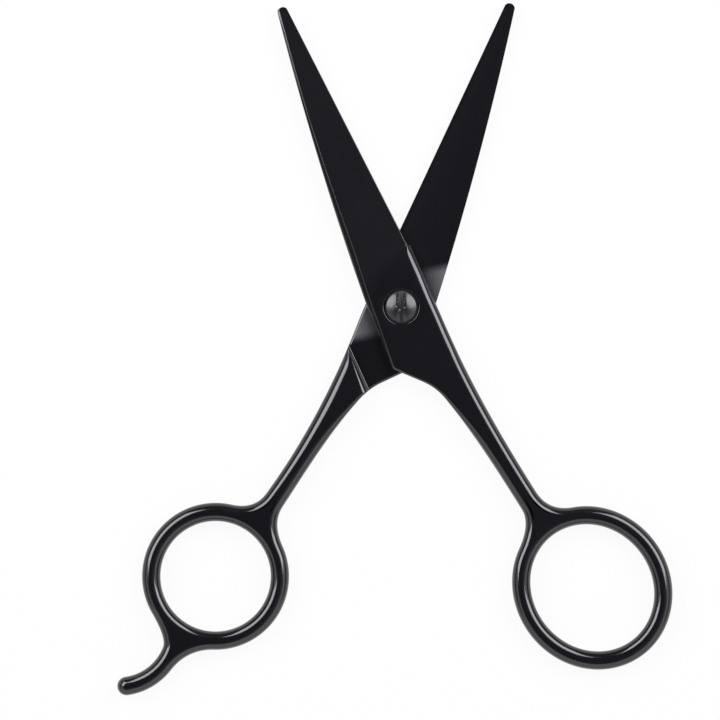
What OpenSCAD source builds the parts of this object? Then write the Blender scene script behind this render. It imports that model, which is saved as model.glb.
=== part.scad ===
// Hair cutting shears: two forged halves that cross on one slotted pivot screw.
// The origin is on the pivot axis, in the plane that the shears lie on.
// +Y points to the blade tips, +Z points up through the screw's head.

/* [Blades] */
// Distance from the pivot axis to the end of the tip
tip_reach = 67.1; // [60:0.1:75]
// Width of the blunt tip
tip_width = 2.2; // [1.8:0.1:3]
// Length over which the end of the tip is rounded
tip_round = 1.0; // [0.6:0.1:1.6]
// Distance from the pivot axis to the heel of the cutting edge
edge_heel = 11.8; // [10:0.1:15]
// Width from the heel of the cutting edge to the pivot axis
edge_offset = 6.0; // [5:0.1:7]
// Width from the spine to the pivot axis
spine_offset = 6.6; // [5.6:0.1:7.6]
// How far the spine bows out of a straight line
spine_bow = 0.75; // [0.3:0.05:1]
// Thickness of each half at the pivot
blade_thickness = 2.25; // [2:0.05:2.8]
// Thickness above the bevel at the heel of the cutting edge
heel_thickness = 1.45; // [1:0.05:1.7]
// Thickness above the bevel at the tip
tip_thickness = 0.6; // [0.45:0.05:0.7]
// Width of the cutting bevel
bevel_width = 0.45; // [0.3:0.05:0.6]
// Thickness of the cutting edge under the bevel
edge_land = 0.15; // [0.1:0.05:0.3]
// Width of the chamfer along the spine at the pivot
spine_chamfer = 1.15; // [0.8:0.05:1.4]
// Width of the chamfer along the spine at the tip
tip_chamfer = 0.45; // [0.3:0.05:0.6]
// Depth of the hollow ground into the inner face
hollow_depth = 0.16; // [0.08:0.02:0.3]
// Width of the flat land between the hollow and the cutting edge
hollow_land = 0.8; // [0.5:0.05:1.2]

/* [Pivot block] */
// Gap between the inner faces of the two halves
ride_gap = 0.06; // [0.04:0.01:0.12]
// Jog from the heel of the cutting edge out to the wall of the block
heel_jog = 0.45; // [0.2:0.05:0.8]
// Distance from the pivot axis down to the heel corner
heel_drop = 11.3; // [10:0.1:13]
// Width from the heel corner to the pivot axis
heel_offset = 6.45; // [5.6:0.05:7.2]
// Slope of the crotch edge below the heel corner
crotch_angle = 45; // [40:1:50]
// Length of the crotch edge up to the shank
crotch_length = 9.8; // [9:0.1:11]
// Gap between a crotch edge and the other half's step when closed
step_gap = 0.95; // [0.6:0.05:1.4]
// Slant of the step's wall at the outer edge of the handle
step_slant_outer = 0.2; // [0.1:0.05:0.6]
// Slant of the step's wall at the inner edge of the handle
step_slant_inner = 1.2; // [0.6:0.05:1.6]

/* [Handles] */
// Width of the rounding along shanks, rings and finger rest
edge_width = 1.75; // [1.2:0.05:1.75]
// Height of the rounding along shanks, rings and finger rest
edge_drop = 1.9; // [1.2:0.05:1.95]
// Radius of the edges of the crotch
crotch_radius = 0.5; // [0.3:0.05:0.8]
// Distance from the pivot axis down to the narrowest point of the shanks
neck_drop = 46; // [43:0.5:48]

/* [Thumb handle] */
// Lean of the thumb shank where it leaves the crotch
thumb_root_lean = 19; // [16:0.5:22]
// Width from the pivot axis to the outer wall of the thumb half's block
thumb_wall = 7.05; // [6.6:0.05:7.6]
// Distance from the thumb shank's neck to the half's centre line
thumb_neck_offset = 9.4; // [8.6:0.05:10]
// Width of the thumb shank's neck
thumb_neck_width = 4.35; // [3.8:0.05:5]
// Lean of the thumb shank at its neck
thumb_neck_lean = 10.4; // [8:0.2:13]
// Distance from the thumb ring's centre to the half's centre line
thumb_ring_offset = 15.1; // [14:0.1:18]
// Distance from the pivot axis down to the thumb ring's centre
thumb_ring_drop = 69.0; // [67:0.1:74]
// Length of the oval hole for the thumb
thumb_hole_length = 27.3; // [26:0.1:29]
// Width of the oval hole for the thumb
thumb_hole_width = 24.7; // [23:0.1:26]
// Turn of the oval hole from the half's centre line
thumb_hole_turn = 15.8; // [0:0.2:30]
// Width of the bar round the thumb hole
thumb_bar = 3.85; // [3.3:0.05:4.2]

/* [Finger handle] */
// Lean of the finger shank where it leaves the crotch
finger_root_lean = 22; // [18:0.5:25]
// Width from the pivot axis to the outer wall of the finger half's block
finger_wall = 7.25; // [6.6:0.05:7.8]
// Distance from the finger shank's neck to the half's centre line
finger_neck_offset = 11.0; // [10.2:0.05:11.8]
// Width of the finger shank's neck
finger_neck_width = 4.2; // [3.8:0.05:5]
// Lean of the finger shank at its neck
finger_neck_lean = 13.2; // [11:0.2:16]
// Distance from the finger ring's centre to the half's centre line
finger_ring_offset = 17.2; // [16.6:0.1:20]
// Distance from the pivot axis down to the finger ring's centre
finger_ring_drop = 65.8; // [64:0.1:70]
// Diameter of the round hole for the finger
finger_hole = 22.9; // [21:0.1:24]
// Width of the bar round the finger hole
finger_bar = 3.85; // [3.3:0.05:4.2]

/* [Finger rest] */
// Width of the finger rest
rest_width = 3.9; // [3.6:0.05:4.6]
// Radius of the finger rest's bend
rest_bend = 11.85; // [10.5:0.05:13]
// Angle that the finger rest's bend turns through
rest_sweep = 60; // [40:1:75]
// Distance from the finger ring's outer edge to the centre of the bend
rest_stand = 7.7; // [6.5:0.05:9]
// Direction from the finger ring's centre to the centre of the bend
rest_direction = -48.7; // [-60:0.1:-40]

/* [Pivot screw] */
// Diameter of the domed head
head_diameter = 6.3; // [5.8:0.1:6.6]
// Height of the head's rim
head_rim = 0.8; // [0.5:0.05:0.9]
// Height of the dome above the rim
head_dome = 0.85; // [0.7:0.05:1.2]
// Width of the screwdriver slot at its floor
slot_width = 1.3; // [0.9:0.05:1.5]
// Width of the screwdriver slot at the top of the dome
slot_mouth = 1.85; // [1.6:0.05:2.2]
// Depth of the screwdriver slot below the top of the dome
slot_depth = 0.8; // [0.6:0.05:1]
// Diameter of the smooth shoulder that the thumb half turns on
shoulder_diameter = 4.4; // [4:0.1:4.8]
// Outer diameter of the thread
thread_diameter = 3.5; // [3:0.1:3.8]
// How far the end of the screw stays inside the finger half
end_recess = 0.3; // [0.2:0.05:0.6]
// Running clearance on the shoulder's radius
shoulder_clearance = 0.05; // [0.03:0.01:0.1]
// Clearance on the thread's radius
thread_clearance = 0.03; // [0.02:0.01:0.06]
// Diameter of the recess round the head
recess_diameter = 7.6; // [7.2:0.1:8.2]
// Depth of the recess round the head
recess_depth = 1.1; // [0.9:0.05:1.3]
// Chamfer on the rim of the recess
recess_chamfer = 0.2; // [0.1:0.05:0.3]

/* [Tension washer] */
// Thickness of the washer under the head
washer_thickness = 0.3; // [0.2:0.05:0.4]
// Gap between the washer's edge and the wall of the recess
washer_gap = 0.2; // [0.1:0.05:0.3]
// Gap above and below the washer
washer_clearance = 0.03; // [0.02:0.01:0.05]

/* [Pose] */
// Angle between the two halves as they lie
open_angle = 41.8; // [10:0.2:60]

/* [Hidden] */
$fn = 96;
coating = [0.1, 0.1, 0.11];
washer_colour = [0.05, 0.05, 0.05];

// Heights in a half that lies with its outer face up
half_height = 2 * blade_thickness + ride_gap;
inner_face = blade_thickness + ride_gap;
// How far a cutting body reaches past the face that it cuts
past = 1;

// Number of steps along each stretch of an outline and over a rounded edge
tip_steps = 4;
blade_steps = 14;
jog_steps = 3;
block_steps = 12;
rise_steps = 6;
crotch_steps = 4;
bend_steps = 5;
shank_steps = 10;
root_steps = crotch_steps + bend_steps + shank_steps;
fillet_steps = 8;
ring_steps = 26;
rest_steps = 10;
cap_steps = 6;
round_steps = 5;
hole_steps = 72;

// Outlines of a half, from the tip to the far end, in plan
tip_base = tip_reach - tip_round;
heel_point = [edge_offset, edge_heel];
heel_corner = [-heel_offset, -heel_drop];
crotch_way = [cos(crotch_angle), -sin(crotch_angle)];
crotch_end = heel_corner + crotch_length * crotch_way;
// Height of the jog at the heel of the cutting edge, and of the stretch where blade and block blend
jog_drop = 0.6;
jog_blend = 1.35;
wall_top = heel_point + [heel_jog, -jog_drop];
block_top = edge_heel - jog_blend;
// Where the bowed spine turns into the straight wall of the block
spine_foot = 2;
// End of the chamfer along the spine, and the length over which it fades
chamfer_end = -3;
chamfer_fade = 3;
// Thickness left under the chamfer along the spine
spine_land = 0.25;
// Rounding of the heel corner in plan, and of the edge round it
corner_round = 0.6;
heel_edge = 0.3;
// Lower end of the block's outer wall, and the lean of the shank that starts there
wall_drop = 5;
wall_lean = 1;
// Length of the bend from the crotch into a shank
crotch_bend = 3;
// How far below a neck the blends into the ring start
outer_lag = 0.5;
inner_lag = 2;

// Direction down a shank that leans outwards
function down(lean) = [sin(lean), -cos(lean)];
function polar(r, a) = r * [cos(a), sin(a)];
function bearing(v) = atan2(v[1], v[0]);
function mix(a, b, t) = a + (b - a) * t;
function smooth(t) = t <= 0 ? 0 : t >= 1 ? 1 : t * t * (3 - 2 * t);
function cross2(u, v) = u[0] * v[1] - u[1] * v[0];
// Where the line from a along u crosses the line from b along v
function meet(a, u, b, v) = a + u * cross2(b - a, v) / cross2(u, v);

// Points of each stretch, without its last point
function run(a, b, n) = [for (i = [0:n - 1]) mix(a, b, i / n)];
function bend(a, c, b, n) =
    [for (i = [0:n - 1]) let (t = i / n) mix(mix(a, c, t), mix(c, b, t), t)];
function ease(a, u, b, v, n) =
    let (c = norm(b - a) / 3)
    [for (i = [0:n - 1])
        let (t = i / n, s = 1 - t)
        s * s * s * a + 3 * s * s * t * (a + c * u) + 3 * s * t * t * (b - c * v) + t * t * t * b];

// A ring is [centre, long semi-axis, short semi-axis, turn of the long axis]
function ring_at(ring, a) =
    let (t = a - ring[3])
    ring[0] + polar(ring[1] * cos(t), ring[3]) + polar(ring[2] * sin(t), ring[3] + 90);
function ring_way(ring, a) =
    let (t = a - ring[3], w = polar(-ring[1] * sin(t), ring[3]) + polar(ring[2] * cos(t), ring[3] + 90))
    w / norm(w);
function ring_run(ring, a, b, n) = [for (i = [0:n - 1]) ring_at(ring, mix(a, b, i / n))];

// The spine: a bowed line down to the pivot, then straight to the heel corner
function spine(y) =
    let (t = (tip_base - y) / (tip_base - spine_foot), s = (spine_foot - y) / (spine_foot + heel_drop))
    y > spine_foot
        ? [-mix(tip_width / 2, spine_offset, t) - 4 * spine_bow * t * (1 - t), y]
        : [-mix(spine_offset, heel_offset, s), y];

// Cutting edge, block wall and outer edge of a shank, down to its neck
function outer_edge(wall, neck, lean) = concat(
    [for (i = [0:tip_steps - 1]) let (a = 90 - 90 * i / tip_steps)
        [tip_width / 2 * cos(a), tip_base + tip_round * sin(a)]],
    run([tip_width / 2, tip_base], heel_point, blade_steps),
    bend(heel_point, [heel_point[0], wall_top[1]], wall_top, jog_steps),
    run(wall_top, [wall, -wall_drop], block_steps),
    ease([wall, -wall_drop], down(wall_lean), neck, down(lean), root_steps));

// Spine, heel corner, crotch and inner edge of a shank, down to its neck
function inner_edge(root_lean, neck, lean) =
    let (shank_top = crotch_end + crotch_bend * down(root_lean),
         block_low = heel_corner + [0, corner_round],
         crotch_top = heel_corner + corner_round * crotch_way)
    concat(
        [for (i = [0:tip_steps - 1]) let (a = 90 + 90 * i / tip_steps)
            [tip_width / 2 * cos(a), tip_base + tip_round * sin(a)]],
        [for (i = [0:blade_steps - 1]) spine(mix(tip_base, edge_heel, i / blade_steps))],
        [for (i = [0:jog_steps - 1]) spine(mix(edge_heel, block_top, i / jog_steps))],
        [for (i = [0:block_steps - 3]) spine(mix(block_top, block_low[1], i / (block_steps - 2)))],
        bend(block_low, heel_corner, crotch_top, 2),
        run(crotch_top, crotch_end - crotch_bend * crotch_way, crotch_steps),
        bend(crotch_end - crotch_bend * crotch_way, crotch_end, shank_top, bend_steps),
        ease(shank_top, down(root_lean), neck, down(lean), shank_steps));

// Concave blend from a neck on to a ring
function fillet(neck, lean, lag, ring, a, side) =
    let (start = neck + lag * down(lean),
         end = ring_at(ring, a),
         corner = meet(start, down(lean), end, side * ring_way(ring, a)))
    concat([neck], bend(start, corner, end, fillet_steps - 1));

// Shape of the edge at a point: [width, drop, roundness, top, width below, height below]
face_width = edge_offset + spine_offset - bevel_width - spine_chamfer;
face_slope = (blade_thickness - heel_thickness) / face_width;
round_edge = [edge_width, edge_drop, 1, half_height, edge_width, edge_drop];
// Rounding of the block's edge beside the cutting edge, and of the edges under a half
wall_width = 1.5;
wall_round = 1.3;
under_blade = 0.3;
function edge_thickness(t) = mix(tip_thickness, heel_thickness, t);
function cutting_shape(t) =
    let (thickness = edge_thickness(t))
    [bevel_width, thickness - edge_land, 0, inner_face + thickness, under_blade, under_blade];
wall_shape =
    [wall_width, min(wall_round, heel_thickness), 1, inner_face + heel_thickness, under_blade, under_blade];
function spine_shape(y) =
    let (t = (tip_base - y) / (tip_base - edge_heel),
         width = edge_offset * min(t, 1) + tip_width / 2 * (1 - min(t, 1)) - spine(y)[0],
         c = y > chamfer_end ? mix(tip_chamfer, spine_chamfer, min(t, 1))
             : mix(spine_chamfer, heel_edge, smooth((chamfer_end - y) / chamfer_fade)),
         top = y > edge_heel ? edge_thickness(t) + face_slope * (width - c - bevel_width) : blade_thickness)
    [c, min(c, top - spine_land), 0, inner_face + min(top, blade_thickness), under_blade, under_blade];
heel_shape = [heel_edge, heel_edge, 0, half_height, under_blade, under_blade];
crotch_shape = [crotch_radius, crotch_radius, 1, half_height, crotch_radius, crotch_radius];
// Share of a shank's full edge radius that is reached in the bend below the crotch
bend_share = 0.4;

function outer_shapes() = concat(
    [for (i = [0:tip_steps - 1]) cutting_shape(0)],
    [for (i = [0:blade_steps - 1]) cutting_shape(i / blade_steps)],
    [for (i = [0:jog_steps - 1]) mix(cutting_shape(1), wall_shape, i / jog_steps)],
    [for (i = [0:block_steps - 1]) mix(wall_shape, round_edge, smooth(i / rise_steps))],
    [for (i = [0:root_steps - 1]) round_edge]);
function inner_shapes() =
    let (block_low = corner_round - heel_drop)
    concat(
        [for (i = [0:tip_steps - 1]) mix(cutting_shape(0), spine_shape(tip_base), i / tip_steps)],
        [for (i = [0:blade_steps - 1]) spine_shape(mix(tip_base, edge_heel, i / blade_steps))],
        [for (i = [0:jog_steps - 1]) spine_shape(mix(edge_heel, block_top, i / jog_steps))],
        [for (i = [0:block_steps - 3]) spine_shape(mix(block_top, block_low, i / (block_steps - 2)))],
        [heel_shape, heel_shape],
        [for (i = [0:crotch_steps - 1]) mix(heel_shape, crotch_shape, (i + 1) / crotch_steps)],
        [for (i = [0:bend_steps - 1]) mix(crotch_shape, round_edge, bend_share * i / bend_steps)],
        [for (i = [0:shank_steps - 1]) mix(crotch_shape, round_edge, smooth(bend_share + i / shank_steps))]);
function all_round(n) = [for (i = [0:n - 1]) round_edge];

// The edge in section, from the upper face to the lower face: [distance in, height]
function section(shape) = concat(
    [for (k = [0:round_steps]) let (t = k / round_steps, a = 90 * t)
        [shape[0] * mix(1 - t, 1 - sin(a), shape[2]), shape[3] - shape[1] * mix(t, 1 - cos(a), shape[2])]],
    [for (k = [round_steps:-1:0]) let (a = 90 * k / round_steps)
        [shape[4] * (1 - sin(a)), shape[5] * (1 - cos(a))]]);

// A solid between an outer and an inner edge that start and end at the same points
module forging(outer, inner, outer_shape, inner_shape) {
    last = len(outer) - 1;
    outline = concat(outer, [for (i = [last - 1:-1:1]) inner[i]]);
    shapes = concat(outer_shape, [for (i = [last - 1:-1:1]) inner_shape[i]]);
    count = len(outline);
    rows = 2 * (round_steps + 1);
    points = [for (i = [0:count - 1])
        let (way = outline[(i + 1) % count] - outline[(i + count - 1) % count],
             inward = [way[1], -way[0]] / norm(way))
        for (edge = section(shapes[i]))
            let (p = outline[i] + edge[0] * inward)
            [p[0], p[1], edge[1]]];
    walls = [for (i = [0:count - 1], k = [0:rows - 2])
        let (a = i * rows + k, b = ((i + 1) % count) * rows + k)
        each [[b, a, a + 1], [b, a + 1, b + 1]]];
    upper = [for (i = [0:last - 1])
        let (a = i * rows,
             b = (i + 1) * rows,
             c = ((count - i - 1) % count) * rows,
             d = ((count - i) % count) * rows)
        each concat(b == c ? [] : [[a, b, c]], a == d ? [] : [[a, c, d]])];
    lower = [for (f = upper) [f[2], f[1], f[0]] + [1, 1, 1] * (rows - 1)];
    polyhedron(points, concat(walls, upper, lower));
}

// The two handles
thumb_neck = [thumb_neck_offset, -neck_drop];
thumb_side = thumb_neck_width / 2 * [cos(thumb_neck_lean), sin(thumb_neck_lean)];
thumb_centre = [thumb_ring_offset, -thumb_ring_drop];
thumb_turn = thumb_hole_turn - 90;
thumb_ring = [thumb_centre, thumb_hole_length / 2 + thumb_bar, thumb_hole_width / 2 + thumb_bar, thumb_turn];
thumb_way = bearing(thumb_neck - thumb_centre);
// Angles on the ring from the neck to the ends of the two blends, and to the far end
thumb_outer_start = thumb_way - 24;
thumb_inner_start = thumb_way + 28;
thumb_far = thumb_way - 178;

finger_neck = [finger_neck_offset, -neck_drop];
finger_side = finger_neck_width / 2 * [cos(finger_neck_lean), sin(finger_neck_lean)];
finger_centre = [finger_ring_offset, -finger_ring_drop];
finger_ring = [finger_centre, finger_hole / 2 + finger_bar, finger_hole / 2 + finger_bar, 0];
finger_way = bearing(finger_neck - finger_centre);
// Angles on the ring from the neck to the ends of the two blends
finger_outer_start = finger_way - 25;
finger_inner_start = finger_way + 35;

// Angles on the ring where the two edges of the finger rest leave it
rest_outer_start = rest_direction - 1.3;
rest_inner_start = rest_direction + 300;
// Angles on the bend where its outer edge starts, and how much later its inner edge does
rest_start = rest_direction + 230.7;
rest_lag = 16;
rest_centre = finger_centre + polar(finger_hole / 2 + finger_bar + rest_stand, rest_direction);
rest_end = rest_start + rest_sweep;
rest_tip = rest_centre + polar(rest_bend, rest_end);
function rest_at(side, a) = rest_centre + polar(rest_bend + side * rest_width / 2, a);
function rest_blend(p, u, side, a) =
    bend(p, meet(p, u, rest_at(side, a), polar(1, a + 90)), rest_at(side, a), fillet_steps);
function rest_run(side, a) = [for (i = [0:rest_steps - 1]) rest_at(side, mix(a, rest_end, i / rest_steps))];
function rest_cap(side) = [for (i = [0:cap_steps]) let (a = 90 * i / cap_steps)
    rest_tip + rest_width / 2 * (side * cos(a) * polar(1, rest_end) + sin(a) * polar(1, rest_end + 90))];

module thumb_blank() {
    outer = concat(
        outer_edge(thumb_wall, thumb_neck + thumb_side, thumb_neck_lean),
        fillet(thumb_neck + thumb_side, thumb_neck_lean, outer_lag, thumb_ring, thumb_outer_start, -1),
        ring_run(thumb_ring, thumb_outer_start, thumb_far, ring_steps),
        [ring_at(thumb_ring, thumb_far)]);
    inner = concat(
        inner_edge(thumb_root_lean, thumb_neck - thumb_side, thumb_neck_lean),
        fillet(thumb_neck - thumb_side, thumb_neck_lean, inner_lag, thumb_ring, thumb_inner_start, 1),
        ring_run(thumb_ring, thumb_inner_start, thumb_far + 360, ring_steps),
        [ring_at(thumb_ring, thumb_far)]);
    ring_shapes = all_round(fillet_steps + ring_steps + 1);
    forging(outer, inner, concat(outer_shapes(), ring_shapes), concat(inner_shapes(), ring_shapes));
}

module finger_blank() {
    outer_leave = ring_at(finger_ring, rest_outer_start);
    inner_leave = ring_at(finger_ring, rest_inner_start);
    outer = concat(
        outer_edge(finger_wall, finger_neck + finger_side, finger_neck_lean),
        fillet(finger_neck + finger_side, finger_neck_lean, outer_lag, finger_ring, finger_outer_start, -1),
        ring_run(finger_ring, finger_outer_start, rest_outer_start, ring_steps),
        rest_blend(outer_leave, -ring_way(finger_ring, rest_outer_start), -1, rest_start),
        rest_run(-1, rest_start),
        rest_cap(-1));
    inner = concat(
        inner_edge(finger_root_lean, finger_neck - finger_side, finger_neck_lean),
        fillet(finger_neck - finger_side, finger_neck_lean, inner_lag, finger_ring, finger_inner_start, 1),
        ring_run(finger_ring, finger_inner_start, rest_inner_start, ring_steps),
        rest_blend(inner_leave, ring_way(finger_ring, rest_inner_start), 1, rest_start + rest_lag),
        rest_run(1, rest_start + rest_lag),
        rest_cap(1));
    ring_shapes = all_round(2 * fillet_steps + ring_steps + rest_steps + cap_steps + 1);
    forging(outer, inner, concat(outer_shapes(), ring_shapes), concat(inner_shapes(), ring_shapes));
}

// Space taken out under a half's inner face, up to the step where the handle starts.
// The step runs parallel to the other half's crotch edge, and its wall slants more towards the inside.
module relief() {
    away = [sin(crotch_angle), -cos(crotch_angle)];
    along = [-cos(crotch_angle), -sin(crotch_angle)];
    outer_end = [heel_offset, -heel_drop] + step_gap * away;
    reach = 2 * crotch_length;
    stops = [-reach, 0, crotch_length / 2, crotch_length, reach];
    rise = (inner_face + past) / inner_face;
    deep = [for (s = stops) outer_end + s * along];
    shallow = [for (s = stops)
        let (t = min(max(s / crotch_length, 0), 1))
        outer_end + s * along + rise * mix(step_slant_outer, step_slant_inner, t) * away];
    far = [[-2 * tip_reach, deep[4][1]], [-2 * tip_reach, 2 * tip_reach], [tip_reach, 2 * tip_reach]];
    count = 8;
    top = [for (p = concat(far, deep)) [p[0], p[1], inner_face]];
    bottom = [for (p = concat(far, shallow)) [p[0], p[1], -past]];
    walls = [for (i = [0:count - 1])
        let (j = (i + 1) % count)
        each [[i, i + count, j + count], [i, j + count, j]]];
    fan = [for (i = [2:count - 2]) [1, i, i + 1]];
    caps = concat(fan, [[1, count - 1, 0]]);
    polyhedron(concat(top, bottom), concat(
        walls,
        caps,
        [for (f = caps) [f[2], f[1], f[0]] + [count, count, count]]));
}

// Hollow of the inner face: a cone with its point past the tip, which runs out at the pivot block
module hollow() {
    run_on = 2;
    run_out = 2;
    slope = (edge_offset - tip_width / 2) / (tip_base - edge_heel);
    point_y = edge_heel + (edge_offset - hollow_land) / slope;
    start_y = edge_heel - run_on;
    spread = atan(slope);
    dip = atan(hollow_depth / (point_y - start_y));
    opening = atan((1 / cos(spread) - cos(dip)) / sin(dip));
    cone = 2 * (point_y - start_y);
    intersection() {
        translate([0, point_y, inner_face])
            rotate([90 + opening - dip, 0, 0])
                cylinder(h = cone, r1 = 0, r2 = cone * tan(opening));
        translate([0, start_y, inner_face])
            rotate([run_out, 0, 0])
                translate([-spine_offset, 0, -inner_face])
                    cube([2 * spine_offset, tip_base - start_y, inner_face]);
        translate([-spine_offset, start_y, inner_face - past])
            cube([2 * spine_offset, tip_base - start_y, 2 * past]);
    }
}

// Rounded lip of a finger hole: [distance out, height], past both faces
lip_stop = 76;
lip_past = 0.2;
lip_rise = edge_drop * sin(lip_stop);
lip_width = edge_width * (1 - cos(lip_stop));
lip = concat(
    [for (k = [0:round_steps]) let (a = lip_stop * k / round_steps)
        [edge_width * (1 - cos(a)), edge_drop * sin(a) - lip_rise]],
    [[lip_width + lip_past * tan(lip_stop) * edge_width / edge_drop, lip_past]]);
hole_profile = concat(
    [for (i = [len(lip) - 1:-1:0]) [lip[i][0], -lip[i][1]]],
    [for (p = lip) [p[0], half_height + p[1]]]);

module finger_hole_space() {
    translate(finger_centre)
        rotate_extrude()
            polygon(concat(
                [[0, -lip_past]],
                [for (p = hole_profile) [finger_hole / 2 + p[0], p[1]]],
                [[0, half_height + lip_past]]));
}

module thumb_hole_space() {
    levels = len(hole_profile);
    hole = [thumb_centre, thumb_hole_length / 2, thumb_hole_width / 2, thumb_turn];
    points = [for (p = hole_profile, i = [0:hole_steps - 1])
        let (grown = [hole[0], hole[1] + p[0], hole[2] + p[0], hole[3]],
             q = ring_at(grown, 360 * i / hole_steps))
        [q[0], q[1], p[1]]];
    walls = [for (k = [0:levels - 2], i = [0:hole_steps - 1])
        let (a = k * hole_steps + i, b = k * hole_steps + (i + 1) % hole_steps)
        each [[a, a + hole_steps, b + hole_steps], [a, b + hole_steps, b]]];
    floor_face = [[for (i = [0:hole_steps - 1]) i]];
    roof_face = [[for (i = [hole_steps - 1:-1:0]) (levels - 1) * hole_steps + i]];
    polyhedron(points, concat(walls, floor_face, roof_face));
}

// Bore of the thumb half: running fit on the shoulder, and the recess of the head
module shoulder_space() {
    translate([0, 0, inner_face - past])
        cylinder(r = shoulder_diameter / 2 + shoulder_clearance, h = half_height);
    translate([0, 0, half_height - recess_depth])
        cylinder(d = recess_diameter, h = recess_depth + past);
    translate([0, 0, half_height - recess_chamfer])
        cylinder(
            d1 = recess_diameter,
            d2 = recess_diameter + 4 * recess_chamfer,
            h = 2 * recess_chamfer);
}

module thread_space() {
    cylinder(r = thread_diameter / 2 + thread_clearance, h = half_height + past);
}

module thumb_half() {
    color(coating)
        rotate([0, 0, open_angle / 2])
            difference() {
                thumb_blank();
                relief();
                hollow();
                thumb_hole_space();
                shoulder_space();
            }
}

module finger_half() {
    color(coating)
        rotate([0, 0, -open_angle / 2])
            translate([0, 0, half_height])
                rotate([0, 180, 0])
                    difference() {
                        finger_blank();
                        relief();
                        hollow();
                        finger_hole_space();
                        thread_space();
                    }
}

// Heights of the screw's parts in the assembled shears
recess_floor = half_height - recess_depth;
head_seat = recess_floor + washer_thickness + 2 * washer_clearance;
shoulder_seat = blade_thickness + thread_clearance;

module pivot_screw() {
    dome_radius = (head_diameter * head_diameter / 4 + head_dome * head_dome) / (2 * head_dome);
    head_top = head_seat + head_rim + head_dome;
    slot_flare = (slot_mouth - slot_width) / 2 / slot_depth;
    slot_top = slot_mouth / 2 + past * slot_flare;
    color(coating)
        difference() {
            union() {
                intersection() {
                    translate([0, 0, head_seat])
                        cylinder(d = head_diameter, h = head_rim + head_dome + past);
                    translate([0, 0, head_top - dome_radius])
                        sphere(r = dome_radius);
                }
                translate([0, 0, shoulder_seat])
                    cylinder(d = shoulder_diameter, h = head_seat + head_rim / 2 - shoulder_seat);
                translate([0, 0, end_recess])
                    cylinder(d = thread_diameter, h = head_seat - end_recess);
            }
            translate([0, head_diameter, head_top])
                rotate([90, 0, 0])
                    linear_extrude(2 * head_diameter)
                        polygon([
                            [-slot_width / 2, -slot_depth],
                            [slot_width / 2, -slot_depth],
                            [slot_top, past],
                            [-slot_top, past]]);
        }
}

module tension_washer() {
    color(washer_colour)
        translate([0, 0, recess_floor + washer_clearance])
            linear_extrude(washer_thickness)
                difference() {
                    circle(r = recess_diameter / 2 - washer_gap);
                    circle(r = shoulder_diameter / 2 + shoulder_clearance);
                }
}

thumb_half();
finger_half();
pivot_screw();
tension_washer();
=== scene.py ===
import bmesh
import bpy
import numpy as np
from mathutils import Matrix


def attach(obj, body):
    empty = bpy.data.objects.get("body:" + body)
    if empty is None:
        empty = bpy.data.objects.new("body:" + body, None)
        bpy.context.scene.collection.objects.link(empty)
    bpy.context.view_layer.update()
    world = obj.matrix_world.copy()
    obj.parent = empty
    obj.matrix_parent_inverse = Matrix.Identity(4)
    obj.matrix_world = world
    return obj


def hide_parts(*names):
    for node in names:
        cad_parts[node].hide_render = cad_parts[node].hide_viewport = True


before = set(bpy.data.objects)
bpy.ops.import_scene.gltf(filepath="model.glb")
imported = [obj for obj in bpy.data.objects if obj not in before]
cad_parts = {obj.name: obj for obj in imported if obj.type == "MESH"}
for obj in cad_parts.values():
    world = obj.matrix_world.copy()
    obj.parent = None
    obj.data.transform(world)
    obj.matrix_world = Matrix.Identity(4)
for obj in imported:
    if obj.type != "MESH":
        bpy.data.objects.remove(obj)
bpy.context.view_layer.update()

# Finger half: one steel forging with its blade, pivot block, shank, finger ring and curved rest in one piece,
# ground, polished and coated glossy black. It lies underneath with its ground inner face up, and its block
# is tapped for the pivot screw.
mm = 0.001
tip_reach = 67.1 * mm
tip_width = 2.2 * mm
tip_round = 1.0 * mm
tip_base = tip_reach - tip_round
edge_heel = 11.8 * mm
edge_offset = 6.0 * mm
spine_offset = 6.6 * mm
spine_bow = 0.75 * mm
spine_foot = 2.0 * mm
blade_thickness = 2.25 * mm
heel_thickness = 1.45 * mm
tip_thickness = 0.6 * mm
bevel_width = 0.18 * mm
fine_bevel = 0.1 * mm
fine_bevel_start = 17.0 * mm
tip_bevel = 0.05 * mm
edge_land = 0.15 * mm
spine_chamfer = 1.3 * mm
spine_chamfer_top = 15.0 * mm
narrow_chamfer = 0.5 * mm
narrow_chamfer_end = 45.0 * mm
spine_land = 0.25 * mm
chamfer_slope = 1.2
tip_chamfer_slope = 0.5
crease_round = 0.17 * mm
block_crease = 0.09 * mm
block_crease_start = -4.0 * mm
crease_most = 0.25
corner_share = 0.3
corner_height = 0.75
edge_break = 0.05 * mm
hollow_depth = 0.16 * mm
hollow_land = 0.8 * mm
hollow_start = 9.8 * mm
hollow_run = 5.0 * mm

# Pivot block, step and shank
half_height = 4.56 * mm
inner_face = half_height - blade_thickness
heel_jog = 0.45 * mm
jog_drop = 0.6 * mm
jog_blend = 2.1 * mm
heel_drop = 11.3 * mm
heel_offset = 6.45 * mm
heel_edge = 0.4 * mm
block_chamfer_share = 0.7
corner_round = 0.6 * mm
rise_end = 5.0 * mm
wall_drop = 5.0 * mm
wall_lean = 1
wall_width = 1.5 * mm
wall_round = 1.3 * mm
crotch_angle = 45
crotch_length = 9.8 * mm
crotch_bend = 3.0 * mm
crotch_radius = 0.5 * mm
step_gap = 0.95 * mm
step_slant_outer = 0.15 * mm
step_slant_inner = 0.4 * mm
step_fillet = 0.3 * mm
step_crease = 0.04 * mm
step_brow_outer = 0.35 * mm
step_brow_inner = 1.1 * mm
step_round_outer = 0.5 * mm
step_round_inner = 1.25 * mm
step_edge = 0.3 * mm
step_edge_growth = 4.5 * mm
block_break = 0.5 * mm
crotch_break = 0.6 * mm
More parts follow.
